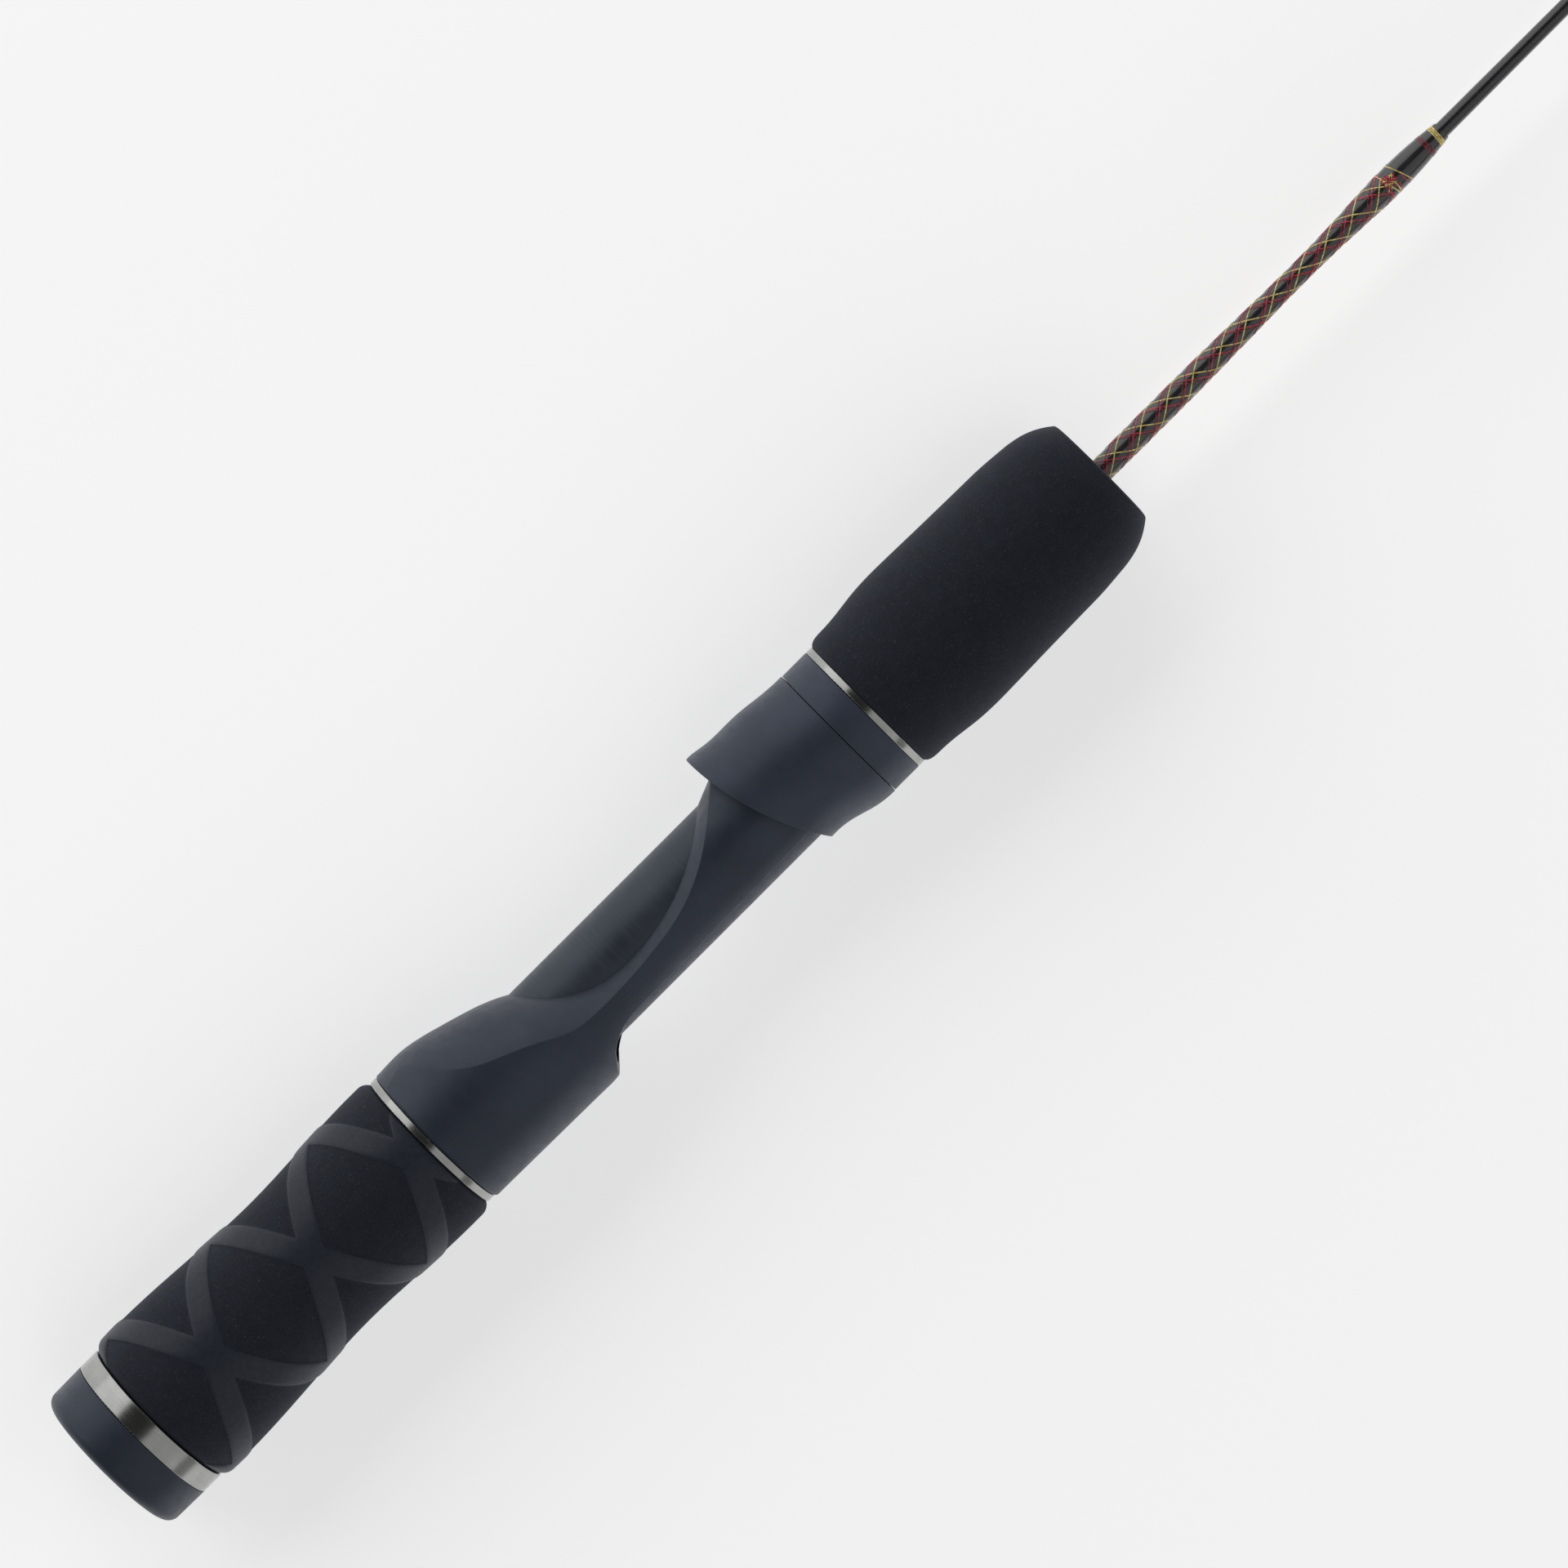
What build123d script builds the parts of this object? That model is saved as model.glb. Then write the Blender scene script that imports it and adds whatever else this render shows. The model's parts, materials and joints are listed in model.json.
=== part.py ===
from build123d import *

import math
import os

# An ice fishing rod, lying on its side.
# +X runs from the butt to the tip, on the rod's centre line. The origin is the middle of the flat
# butt face. The reel hangs on the -Y side, +Y is the back of the rod, and +Z is one flank.
# All sizes are in millimetres.

# ---------------------------------------------------------------- driving dimensions, lengths
rod_length = 660.4
cap_length = 7.35
butt_ring_length = 3.7
rear_grip_length = 58.65
seat_ring_length = 1.4
dome_length = 24.0
window_length = 44.0
hood_length = 19.3
collar_length = 5.1
grip_ring_length = 1.35
foregrip_length = 50.25
barrel_length = 41.4

# ---------------------------------------------------------------- driving dimensions, sections
tube_radius = 7.4
tube_wall = 1.0
bed_wall = 1.7
skin_wall = 1.9
foot_room = 2.8
hood_wall = 1.05
dome_wall = 1.5
foam_thickness = 6.65
foam_waist = 5.4
foregrip_thickness = 6.35
cap_edge = 1.8
foam_edge = 2.0
ring_edge = 0.25

# ---------------------------------------------------------------- clearances
slide_gap = 0.15
face_gap = 0.15
blank_gap = 0.2

# ---------------------------------------------------------------- foot pocket and mouth
pocket_depth = 13.0
pocket_taper = 1.4
pocket_half_angle = 37.0
mouth_set_forward = 1.9
mouth_run = 10.5
skin_edge_height = 1.1

# ---------------------------------------------------------------- slip ring, thread, key
ring_reach = 3.1
ring_flange = 0.8
ring_flange_radius_step = 1.7
ring_body_step = 0.95
ring_slit = 1.2
key_width = 2.4
key_depth = 0.8
travel_back = 9.0
travel_forward = 10.5
nut_thread_length = 9.6
nut_thread_start = 3.7
thread_pitch = 3.0
thread_depth = 0.85
thread_floor_width = 0.9
thread_flank = 0.8
thread_gap = 0.12
sleeve_wall = 1.6
sleeve_length = 18.6

# ---------------------------------------------------------------- blank
blank_start = 5.0
blank_radius_butt = 1.95
blank_radius_grip = 1.62
blank_radius_wrap_end = 1.31
blank_radius_joint = 0.62
blank_radius_tip = 0.42
blank_wall = 0.45
wrap_end_offset = 74.5
joint_from_tip = 155.0
spigot_length = 22.0

# ---------------------------------------------------------------- butt wrap
wrap_hidden_length = 19.0
wrap_thread = 0.16
wrap_radius = 1.94
wrap_waist_radius = 1.78
bulge_radius = 2.25
bulge_offset = 64.9
bulge_rear_run = 14.0
bulge_front_run = 9.6

# ---------------------------------------------------------------- guides: distance from the tip,
# ring bore, height of the ring's centre over the blank's axis, and the feet: +1 towards the tip
guide_layout = (
    (312.4, 9.0, 12.4, (-1, 1)),
    (218.4, 7.0, 10.2, (1,)),
    (136.4, 6.0, 8.6, (1,)),
    (64.4, 5.0, 7.4, (1,)),
)
insert_thickness = 0.9
insert_width = 1.9
insert_land = 1.0
frame_thickness = 0.7
frame_width = 1.3
leg_radius = 0.45
leg_lean = 5.0
leg_spread = 38.0
foot_length = 10.0
foot_width = 1.2
foot_height = 0.8
foot_tip_height = 0.3
thread_thickness = 0.3
wrap_margin = 2.5
tip_tube_length = 9.0
tip_tube_wall = 0.35
tip_ring_bore = 4.2
tip_ring_drop = 4.4
tip_wrap_length = 7.0

# ---------------------------------------------------------------- stations along the rod
butt_ring_x = cap_length
rear_grip_x = butt_ring_x + butt_ring_length
seat_ring_x = rear_grip_x + rear_grip_length
seat_x = seat_ring_x + seat_ring_length
window_x = seat_x + dome_length
window_end_x = window_x + window_length
seam_x = window_end_x + hood_length
collar_end_x = seam_x + collar_length
foregrip_x = collar_end_x + grip_ring_length
handle_x = foregrip_x + foregrip_length
barrel_end_x = window_end_x + barrel_length
tube_start_x = 3.0
bush_length = 8.5
tube_end_x = barrel_end_x - bush_length

# ---------------------------------------------------------------- radii
bed_radius = tube_radius + bed_wall
barrel_radius = tube_radius + skin_wall
hood_bore = barrel_radius + slide_gap
dome_radius = bed_radius + foot_room + dome_wall
hood_crest = hood_bore + foot_room - slide_gap + hood_wall
collar_radius = barrel_radius + 2.95
grip_radius = tube_radius + foam_thickness
waist_radius = tube_radius + foam_waist
foregrip_radius = tube_radius + foregrip_thickness
cap_radius = tube_radius + 5.95


# ---------------------------------------------------------------- small helpers
def turned(*points):
    """Turn a closed outline of (x, radius) points round the rod's axis."""
    return revolve(make_face(Polyline(*points, close=True)), Axis.X)


def sleeve(start, end, outer, inner=0.0):
    """A plain round piece from one station to another."""
    return turned((start, inner), (end, inner), (end, outer), (start, outer))


def disc(x, y, radius):
    """A round section across the rod, with its centre moved along Y."""
    return Plane(origin=(x, y, 0), z_dir=(1, 0, 0)) * Circle(radius)


def block(x0, x1, y0, y1, z0, z1):
    """A box between two corners."""
    middle = Pos((x0 + x1) / 2, (y0 + y1) / 2, (z0 + z1) / 2)
    return middle * Box(abs(x1 - x0), abs(y1 - y0), abs(z1 - z0))


def strut(start, end, radius):
    """A round wire between two points, with round ends."""
    span = Vector(*end) - Vector(*start)
    wire = Plane(origin=start, z_dir=span) * Cylinder(
        radius, span.length, align=(Align.CENTER, Align.CENTER, Align.MIN))
    return wire + Pos(*start) * Sphere(radius) + Pos(*end) * Sphere(radius)


def round_edges_at(solid, x, radius, size):
    """Round the circular edges of one radius at one station."""
    found = [e for e in solid.edges().filter_by(GeomType.CIRCLE)
             if abs(e.arc_center.X - x) < 1e-3 and abs(e.radius - radius) < 1e-3]
    return fillet(found, size) if found else solid


def thread_turns(start, end, low, high, low_width, high_width):
    """A right-hand helical bar from one radius to another, as one-turn lengths set end to end."""
    path = Pos(start, 0, 0) * (Rot(0, 90, 0) * Helix(thread_pitch, thread_pitch, low))
    across = Plane(origin=(start, 0, 0), x_dir=(1, 0, 0), z_dir=(0, 1, 0))
    section = across * make_face(Polyline(
        (-low_width / 2, low), (low_width / 2, low), (high_width / 2, high),
        (-high_width / 2, high), close=True))
    bar = sweep(section, path=path, is_frenet=True)
    turns = math.ceil((end - start) / thread_pitch)
    return [Pos(turn * thread_pitch, 0, 0) * bar for turn in range(turns)]


def blank_radius(x):
    """Outer radius of the blank at a station, straight between its design sections."""
    sections = (
        (blank_start, blank_radius_butt),
        (handle_x, blank_radius_grip),
        (handle_x + wrap_end_offset, blank_radius_wrap_end),
        (rod_length - joint_from_tip, blank_radius_joint),
        (rod_length, blank_radius_tip),
    )
    for (x0, r0), (x1, r1) in zip(sections, sections[1:]):
        if x <= x1:
            return r0 + (r1 - r0) * (x - x0) / (x1 - x0)
    return blank_radius_tip


def blank_outline(start, end):
    """The blank's outer line between two stations."""
    marks = (handle_x, handle_x + wrap_end_offset, rod_length - joint_from_tip)
    inner = [x for x in marks if start < x < end]
    return [(x, blank_radius(x)) for x in [start, *inner, end]]


def blank_core(start, end):
    """The space that the blank fills between two stations."""
    return turned((start, 0), *blank_outline(start, end), (end, 0))


# ---------------------------------------------------------------- butt end
def make_butt_cap():
    """Plastic end cap, pushed over the end of the handle tube."""
    cap = turned((0, 0), (0, cap_radius), (cap_length, cap_radius + 0.1),
                 (cap_length, tube_radius), (tube_start_x, tube_radius), (tube_start_x, 0))
    return round_edges_at(cap, 0, cap_radius, cap_edge)


def make_butt_ring():
    """Metal trim ring between the end cap and the rear grip."""
    radius = cap_radius + 0.1
    ring = sleeve(butt_ring_x, rear_grip_x, radius, tube_radius)
    ring = round_edges_at(ring, butt_ring_x, radius, ring_edge)
    return round_edges_at(ring, rear_grip_x, radius, ring_edge)


def make_rear_grip():
    """Foam grip with a full butt swell, a waist, and a smaller swell at the seat."""
    start = rear_grip_x
    end = seat_ring_x
    span = end - start
    front_radius = tube_radius + 6.2
    crown = Spline(
        (start + foam_edge, grip_radius - 0.05),
        (start + 0.13 * span, grip_radius),
        (start + 0.33 * span, grip_radius - 0.62),
        (start + 0.56 * span, waist_radius),
        (start + 0.82 * span, front_radius - 0.15),
        (end - foam_edge, front_radius),
    )
    back = JernArc((start, grip_radius - foam_edge - 0.05), (0, 1), foam_edge, -90)
    front = JernArc(crown @ 1, (1, 0), foam_edge, -90)
    outline = back + Line(back @ 1, crown @ 0) if (back @ 1 - crown @ 0).length > 1e-4 else back
    close = Polyline(front @ 1, (end, tube_radius), (start, tube_radius), back @ 0)
    return revolve(make_face([*outline.edges(), *crown.edges(), *front.edges(), *close.edges()]),
                   Axis.X)


def make_seat_ring():
    """Thin metal ring between the rear grip and the reel seat."""
    ring = sleeve(seat_ring_x, seat_x, waist_radius, tube_radius)
    ring = round_edges_at(ring, seat_ring_x, waist_radius, ring_edge)
    return round_edges_at(ring, seat_x, waist_radius, ring_edge)


# ---------------------------------------------------------------- core of the handle
def make_handle_tube():
    return sleeve(tube_start_x, tube_end_x, tube_radius, tube_radius - tube_wall)


def make_arbor(start):
    """Foam-filled ring that centres the blank in the handle tube."""
    end = start + 12.0
    inner = blank_outline(start, end)
    outer = tube_radius - tube_wall
    return turned(*inner, (end, outer), (start, outer))


def make_nose_bush():
    """Bush that closes the front of the barrel and holds the blank."""
    inner = blank_outline(tube_end_x, barrel_end_x)
    return turned(*inner, (barrel_end_x, tube_radius), (tube_end_x, tube_radius))


# ---------------------------------------------------------------- reel seat
def seat_outside():
    """Round body of the seat: dome, palm swell, arms and barrel."""
    mouth_x = window_x + mouth_set_forward
    arm_x = mouth_x + 21.0
    rear_radius = dome_radius - 0.3
    dome = Line((seat_x, rear_radius), (mouth_x - 1, dome_radius))
    fall = Bezier(dome @ 1, (mouth_x + 5, dome_radius - 0.05), (mouth_x + 7, barrel_radius),
                  (arm_x, barrel_radius))
    close = Polyline(fall @ 1, (barrel_end_x, barrel_radius), (barrel_end_x, 0), (seat_x, 0),
                     dome @ 0)
    body = revolve(make_face([*dome.edges(), *fall.edges(), *close.edges()]), Axis.X)
    return round_edges_at(body, seat_x, rear_radius, 0.6)


def seat_back():
    """Arched form that scoops the back of the seat down to the handle tube.

    Each section is a circle: its station, the drop of its centre and its radius, as shares of
    the dome's length or the window's length, and of the dome's radius.
    """
    on_dome = ((-0.1, 0.045, 1.052), (0.163, 0.082, 1.052), (0.413, 0.157, 1.06),
               (0.663, 0.295, 1.071), (0.871, 0.429, 1.071))
    on_window = ((0.02, 0.575, 1.052), (0.111, 0.731, 1.007), (0.225, 0.819, 0.918),
                 (0.361, 0.784, 0.828), (0.52, 0.668, 0.784), (0.702, 0.567, 0.851),
                 (0.884, 0.51, 1.022), (1.066, 0.49, 1.246))
    sections = [(seat_x + s * dome_length, drop, size) for s, drop, size in on_dome]
    sections += [(window_x + s * window_length, drop, size) for s, drop, size in on_window]
    arch = loft([disc(x, -drop * dome_radius, size * dome_radius) for x, drop, size in sections])
    last_x = sections[-1][0]
    wide = dome_radius * 2
    return arch + block(last_x - 0.5, barrel_end_x + 1, -wide, wide, -wide, wide)


def seat_mouth():
    """What is cut away in front of the fixed hood and below the flanks, outside the foot's bed."""
    mouth_x = window_x + mouth_set_forward
    deep = dome_radius + 1.0
    edge_y = -(bed_radius - skin_edge_height)
    ramp = Line((mouth_x - 0.3, -deep), (mouth_x + 3.0, -bed_radius - 1.4))
    sweep_up = Bezier(ramp @ 1, (mouth_x + 5.2, edge_y - 0.7), (mouth_x + 7.5, edge_y - 0.05),
                      (mouth_x + mouth_run, edge_y))
    end_x = window_end_x + 9.0
    close = Polyline(sweep_up @ 1, (end_x, edge_y + 0.6), (end_x, -deep), ramp @ 0)
    region = make_face([*ramp.edges(), *sweep_up.edges(), *close.edges()])
    return extrude(region, deep, both=True) - sleeve(seat_x, barrel_end_x, bed_radius)


def foot_pocket():
    """Tapered pocket of the fixed hood, open towards the tip."""
    mouth_x = window_x + mouth_set_forward
    back_x = mouth_x - pocket_depth
    roof = bed_radius + foot_room
    outline = make_face(Polyline(
        (back_x, -bed_radius), (mouth_x + 6, -bed_radius), (mouth_x + 6, -roof),
        (mouth_x, -roof), (back_x, -(roof - pocket_taper)), close=True))
    sector = revolve(outline, Axis.X, revolution_arc=2 * pocket_half_angle)
    return Rot(-pocket_half_angle, 0, 0) * sector


def keyways():
    """Two straight grooves on the flanks of the barrel, open at its front end."""
    start = seam_x - ring_reach - travel_back - 1.0
    floor = barrel_radius - key_depth
    half = key_width / 2
    top = barrel_radius + 1
    return [block(start, barrel_end_x + 1, -half, half, side * floor, side * top)
            for side in (1, -1)]


def barrel_thread_x():
    """Station where the barrel's thread begins, behind the nut's rearmost place."""
    return seam_x + nut_thread_start - travel_back - thread_pitch / 2


def barrel_grooves():
    """The helical groove of the barrel's thread."""
    low = barrel_radius - thread_depth
    high = barrel_radius + 0.3
    return thread_turns(barrel_thread_x(), barrel_end_x + thread_pitch, low, high,
                        thread_floor_width, thread_floor_width + thread_flank * (high - low))


def make_reel_seat():
    body = seat_outside() & seat_back()
    body -= seat_mouth()
    body -= foot_pocket()
    body -= sleeve(seat_x - 1, barrel_end_x + 1, tube_radius)
    for groove in barrel_grooves():
        body -= groove
    for keyway in keyways():
        body -= keyway
    return body


# ---------------------------------------------------------------- sliding parts
def make_slip_ring():
    """Split ring, keyed to the barrel, whose two flanges carry the hood and the nut."""
    start = seam_x - ring_reach
    end = seam_x + ring_reach
    body_radius = hood_bore + ring_body_step - 0.1
    flange_radius = hood_bore + ring_flange_radius_step - 0.1
    inner = barrel_radius + 0.1
    ring = turned((start, inner), (end, inner), (end, flange_radius),
                  (end - ring_flange, flange_radius), (end - ring_flange, body_radius),
                  (start + ring_flange, body_radius), (start + ring_flange, flange_radius),
                  (start, flange_radius))
    half = key_width / 2 - 0.12
    floor = barrel_radius - key_depth + 0.12
    for side in (1, -1):
        ring += block(start, end, -half, half, side * floor, side * (inner + 0.3))
    return ring - block(start - 1, end + 1, inner - 1, flange_radius + 1,
                        -ring_slit / 2, ring_slit / 2)


def flange_space(face_x, direction):
    """The recess in the hood or the nut for its half of the slip ring."""
    body_radius = hood_bore + ring_body_step
    flange_radius = hood_bore + ring_flange_radius_step
    near = face_x + direction * -1.0
    groove = seam_x + direction * (ring_reach - ring_flange - 0.1)
    deep = seam_x + direction * (ring_reach + 0.1)
    entry = sleeve(min(near, deep), max(near, deep), body_radius)
    return entry + sleeve(min(groove, deep), max(groove, deep), flange_radius)


def make_hood():
    """Sliding hood: round at the nut, and swelling to one side over its foot pocket."""
    front = seam_x - face_gap / 2
    swell = (hood_crest + barrel_radius + 1.1) / 2
    shift = hood_crest - swell
    round_radius = collar_radius + 0.08
    # station behind the seam, share of the swell that is left there
    sections = ((20.5, 1.0), (14.5, 1.0), (11.3, 0.97), (8.3, 0.84), (5.6, 0.47), (3.2, 0.15),
                (1.2, 0.02), (0.0, 0.0))
    shell = loft([disc(front - back, shift * share,
                       round_radius + (swell - round_radius) * share)
                  for back, share in sections])
    rim_top = (window_end_x - 0.1, hood_crest + 1)
    rim_low = (window_end_x + 8.1, -(barrel_radius + 2.2))
    rim = ThreePointArc(rim_top, (window_end_x + 2.5, 0), rim_low)
    rear = seam_x - 40
    cut = make_face([*rim.edges(), *Polyline(rim_low, (rear, -30), (rear, 30), rim_top).edges()])
    shell -= extrude(cut, 30, both=True)
    shell -= sleeve(rear, front + 1, hood_bore)
    shell -= flange_space(front, -1)
    roof = hood_bore + foot_room - slide_gap
    back_x = window_end_x + pocket_depth
    outline = make_face(Polyline(
        (back_x, hood_bore - 0.5), (rear, hood_bore - 0.5), (rear, roof), (window_end_x, roof),
        (back_x, roof - pocket_taper), close=True))
    pocket = Rot(-pocket_half_angle, 0, 0) * revolve(
        outline, Axis.X, revolution_arc=2 * pocket_half_angle)
    return shell - pocket


def make_lock_nut():
    """Collar and threaded sleeve that the foregrip is glued on."""
    rear = seam_x + face_gap / 2
    sleeve_radius = collar_radius - sleeve_wall
    thread_start = seam_x + nut_thread_start
    thread_end = thread_start + nut_thread_length
    end = collar_end_x + sleeve_length
    relief = barrel_radius + 0.5
    thread_bore = barrel_radius - thread_depth + thread_gap
    bore = barrel_radius + slide_gap
    nut = turned((rear, bore), (rear, collar_radius), (collar_end_x, collar_radius),
                 (collar_end_x, sleeve_radius), (end, sleeve_radius), (end, relief),
                 (thread_end, relief), (thread_end, thread_bore), (thread_start, thread_bore),
                 (thread_start, bore))
    nut -= flange_space(rear, 1)
    # the nut's groove follows the crest that is left between the barrel's grooves
    low = thread_bore - 0.1
    crest_width = thread_pitch - thread_floor_width - thread_flank * (thread_gap - 0.1)
    low_width = crest_width + 2 * thread_gap
    first = barrel_thread_x() + thread_pitch / 2
    first += thread_pitch * math.floor((thread_start - thread_pitch - first) / thread_pitch)
    for groove in thread_turns(first, thread_end + thread_pitch, low, barrel_radius + thread_gap,
                               low_width, low_width - thread_flank * (thread_depth + 0.1)):
        nut -= groove
    return nut


def make_grip_ring():
    """Metal trim ring between the collar and the foregrip."""
    inner = collar_radius - sleeve_wall
    ring = sleeve(collar_end_x, foregrip_x, collar_radius, inner)
    ring = round_edges_at(ring, collar_end_x, collar_radius, ring_edge)
    return round_edges_at(ring, foregrip_x, collar_radius, ring_edge)


def make_foregrip():
    """Foam foregrip that turns with the nut, with a cavity for the barrel."""
    start = foregrip_x
    end = handle_x
    face_radius = tube_radius + 2.4
    nose_x = end - 8.0
    crown = Spline(
        (start, collar_radius - 0.1),
        (start + 3.0, foregrip_radius - 0.8),
        (start + 9.9, foregrip_radius - 0.1),
        (start + 19.9, foregrip_radius),
        (start + 0.7 * foregrip_length, foregrip_radius - 0.3),
        (nose_x, foregrip_radius - 0.75),
        tangents=((0.6, 1), (1, -0.09)))
    nose = Bezier(crown @ 1, (end - 4.6, foregrip_radius - 1.1), (end - 2.4, foregrip_radius - 2.0),
                  (end - 0.2, face_radius + 0.1))
    corner = Bezier(nose @ 1, (end - 0.02, face_radius - 0.2), (end, face_radius - 0.6))
    sleeve_radius = collar_radius - sleeve_wall
    sleeve_end = collar_end_x + sleeve_length
    cavity_end = barrel_end_x + travel_back + 1.5
    bore = wrap_radius + blank_gap
    cavity = barrel_radius + 0.5
    close = Polyline(corner @ 1, (end, bore), (cavity_end, bore), (cavity_end, cavity),
                     (sleeve_end, cavity), (sleeve_end, sleeve_radius), (start, sleeve_radius),
                     crown @ 0)
    outline = [*crown.edges(), *nose.edges(), *corner.edges(), *close.edges()]
    return revolve(make_face(outline), Axis.X)


# ---------------------------------------------------------------- blank and butt wrap
def make_blank():
    """Hollow carbon blank, from the butt of the handle to the joint with the tip."""
    end = rod_length - joint_from_tip
    outer = blank_outline(blank_start, end)
    inner = [(x, r - blank_wall * r / blank_radius_butt) for x, r in reversed(outer)]
    spigot = spigot_radius()
    inner[0] = (end, spigot)
    inner.insert(1, (end - spigot_length, spigot))
    return turned(*outer, *inner)


def spigot_radius():
    return blank_radius_joint * 0.72


def make_solid_tip():
    """Solid glass tip, with a spigot glued into the blank."""
    joint = rod_length - joint_from_tip
    end = rod_length - 0.6
    return turned((joint - spigot_length, 0), (joint - spigot_length, spigot_radius()),
                  (joint, spigot_radius()), (joint, blank_radius(joint)),
                  (end, blank_radius(end)), (end, 0))


def wrap_stations():
    start = handle_x - wrap_hidden_length
    end = handle_x + wrap_end_offset - 1.0
    return start, end


def make_butt_wrap():
    """Layer of black thread under the clear finish."""
    start, end = wrap_stations()
    inner = blank_outline(start, end)
    outer = [(x, r + wrap_thread) for x, r in reversed(inner)]
    return turned(*inner, *outer)


def make_butt_wrap_finish():
    """Clear epoxy over the thread, thick at its front end, where the threads are tied off."""
    start, end = wrap_stations()
    bulge_x = handle_x + bulge_offset
    crown = Spline(
        (start, blank_radius(start) + wrap_thread + 0.08),
        (start + 2.0, wrap_radius - 0.03),
        (handle_x - 4.0, wrap_radius),
        (handle_x + 24.0, wrap_radius),
        (bulge_x - bulge_rear_run, wrap_waist_radius),
        (bulge_x, bulge_radius),
        (bulge_x + 0.75 * bulge_front_run, bulge_radius - 0.56),
        (end, blank_radius(end) + wrap_thread + 0.03))
    inner = [(x, r + wrap_thread) for x, r in blank_outline(start, end)]
    close = Polyline(crown @ 1, *reversed(inner), crown @ 0)
    return revolve(make_face([*crown.edges(), *close.edges()]), Axis.X)


# ---------------------------------------------------------------- guides
def make_insert(x, y, bore):
    """Hard ring of a guide, with a straight land in its bore and rounded flanks."""
    section = Rectangle(insert_width, insert_thickness)
    corner = (insert_width - insert_land) / 2
    inner_corners = section.vertices().sort_by(Axis.Y)[0:2]
    section = fillet(inner_corners, corner)
    section = Pos(0, bore / 2 + insert_thickness / 2) * section
    return Pos(x, y, 0) * revolve(section, Axis.X)


def frame_ring(x, y, bore):
    """Hoop of the frame, which holds the hard ring."""
    inner = bore / 2 + insert_thickness
    section = Pos(0, inner + frame_thickness / 2) * RectangleRounded(
        frame_width, frame_thickness, 0.15)
    section += Pos(0, inner + frame_thickness / 4) * Rectangle(frame_width, frame_thickness / 2)
    return Pos(x, y, 0) * revolve(section, Axis.X)


def ring_space(x, y, bore):
    """Everything inside the hoop, where the hard ring sits and the line runs."""
    radius = bore / 2 + insert_thickness
    return Pos(0, y, 0) * sleeve(x - frame_width, x + frame_width, radius)


def make_foot(start, direction, seat_y):
    """Flat foot on the blank, thinning away from the legs."""
    end = start + direction * foot_length

    def section(x, width, height):
        plane = Plane(origin=(x, seat_y - height / 2, 0), x_dir=(0, 0, 1), z_dir=(1, 0, 0))
        return plane * Rectangle(width, height)

    stations = [section(start, foot_width, foot_height),
                section(end, foot_width * 0.8, foot_tip_height)]
    return loft(stations if direction > 0 else stations[::-1])


def foot_seat(foot_start, direction):
    """Level of the blank's surface under a foot, at the thicker end of the blank there."""
    thick_end = min(foot_start, foot_start + direction * foot_length)
    return -blank_radius(thick_end)


def make_guide_frame(x, bore, height, feet):
    """Frame with a hoop, two legs to each foot, and the feet on the blank's reel side."""
    y = -height
    frame = frame_ring(x, y, bore)
    mid = bore / 2 + insert_thickness + frame_thickness / 2
    spread = math.radians(leg_spread)
    for direction in feet:
        foot_start = x + direction * leg_lean
        seat_y = foot_seat(foot_start, direction)
        for side in (1, -1):
            top = (x, y + mid * math.cos(spread), side * mid * math.sin(spread))
            low = (foot_start, seat_y - foot_height + 0.25, side * (foot_width / 2 - 0.25))
            knee = (x + direction * leg_lean * 0.45,
                    (top[1] + low[1]) / 2 - 0.4, side * (abs(top[2]) * 0.62 + 0.2))
            frame += strut(top, knee, leg_radius)
            frame += strut(knee, low, leg_radius)
        frame += make_foot(foot_start - direction * 0.3, direction, seat_y)
        # legs are trimmed to the level of the blank
        frame -= block(x - 20, x + 20, seat_y, 0, -9, 9)
    return frame - ring_space(x, y, bore)


def make_guide_wrap(x, direction, frame):
    """Varnished thread over one foot and round the blank."""
    foot_start = x + direction * leg_lean
    seat_y = foot_seat(foot_start, direction)
    first = foot_start + direction * 1.6
    foot_end = foot_start + direction * (foot_length - 0.3)
    last = foot_end + direction * wrap_margin

    def section(at, rise):
        back = blank_radius(at) + thread_thickness
        reel_side = -seat_y + rise + thread_thickness
        return disc(at, (back - reel_side) / 2, (back + reel_side) / 2)

    stations = [section(first, foot_height - 0.05), section(foot_end, foot_tip_height),
                section(last - direction * 0.6, 0.0),
                disc(last, 0, blank_radius(last) + 0.12)]
    outside = loft(stations if direction > 0 else stations[::-1], ruled=True)
    low, high = min(first, last) - 1, max(first, last) + 1
    return outside - blank_core(low, high) - frame


def make_tip_top(x):
    """Tube over the end of the tip, with a hooped frame for the last ring."""
    start = x - tip_tube_length
    inner = blank_outline(start, rod_length - 0.6)
    outer = blank_radius(start) + tip_tube_wall
    tube = turned(*inner, (rod_length - 0.6, outer), (start, outer))
    ring_x = tip_ring_x()
    frame = frame_ring(ring_x, -tip_ring_drop, tip_ring_bore)
    mid = tip_ring_bore / 2 + insert_thickness + frame_thickness / 2
    spread = math.radians(62)
    for side in (1, -1):
        top = (ring_x, -tip_ring_drop + mid * math.cos(spread), side * mid * math.sin(spread))
        low = (start + 2.0, 0, side * (outer + 0.15))
        frame += strut(low, top, 0.38)
    bridge = strut((ring_x, -tip_ring_drop + mid, 0), (ring_x - 0.2, -outer + 0.1, 0), 0.45)
    core = blank_core(start - 2, rod_length - 0.6)
    hoop = frame + bridge - core - ring_space(ring_x, -tip_ring_drop, tip_ring_bore)
    return tube + hoop


def tip_ring_x():
    return rod_length - insert_width / 2


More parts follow.
